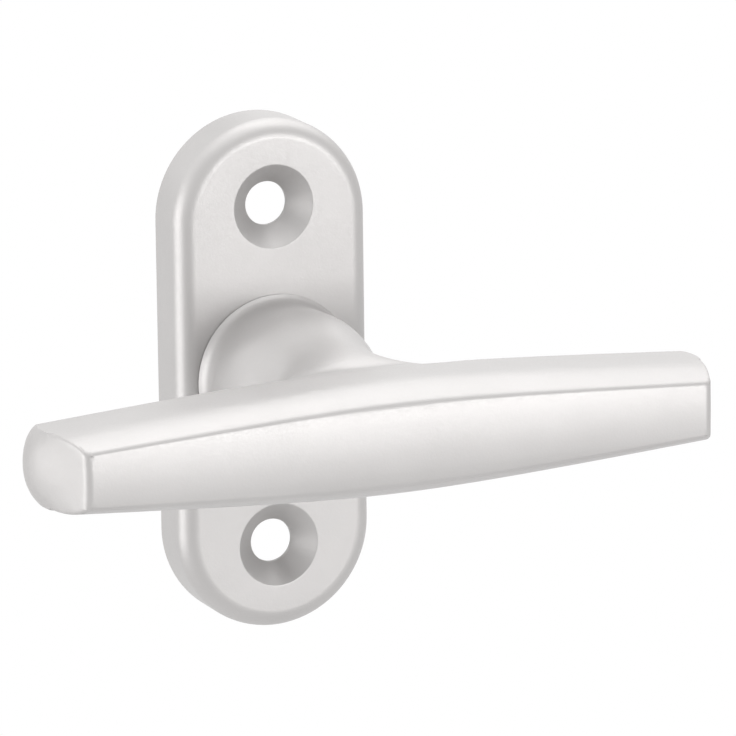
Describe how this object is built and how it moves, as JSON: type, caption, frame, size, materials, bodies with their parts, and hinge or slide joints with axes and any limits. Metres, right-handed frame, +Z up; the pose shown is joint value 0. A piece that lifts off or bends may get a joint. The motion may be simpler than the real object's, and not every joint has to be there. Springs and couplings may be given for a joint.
{
  "type": "window handle",
  "caption": "T-shaped window handle: a tapered grip bar on a round neck turns in an oblong rose with countersunk screw holes and drives a square spindle.",
  "frame": {"origin": "on the spindle's axis in the rose's back plane, half way between the screw holes", "axes": "+Z up along the rose, +X along the grip bar, -Y to the front, +Y into the window"},
  "size_m": [0.0882, 0.0649, 0.0646],
  "materials": {
    "rose_casting": "satin natural anodised, fine matt",
    "grip_casting": "satin natural anodised, fine matt",
    "zinc_steel": "zinc plated, drawn",
    "pressed_steel": "pressed and tumbled",
    "spring_steel": "hardened, oiled",
    "black_steel": "phosphated",
    "nylon": "moulded, natural"
  },
  "bodies": {
    "rose_body": {"rose": "rose_casting", "neck_bush": "nylon", "slide_washer": "spring_steel", "disc_spring": "spring_steel", "detent_spring_left": "spring_steel", "detent_spring_right": "spring_steel", "keeper_plate": "zinc_steel", "keeper_screw_upper": "zinc_steel", "keeper_screw_lower": "zinc_steel"},
    "grip_body": {"t_grip": "grip_casting", "square_spindle": "zinc_steel", "set_screw": "black_steel", "detent_cam": "pressed_steel", "retaining_ring": "black_steel"}
  },
  "joints": [
    {"name": "grip_turn", "type": "hinge", "parent": "rose_body", "child": "grip_body", "pos_m": [0, 0, 0], "axis": [0, 1, 0], "continuous": true, "deforming": ["detent_spring_left", "detent_spring_right"]}
  ]
}
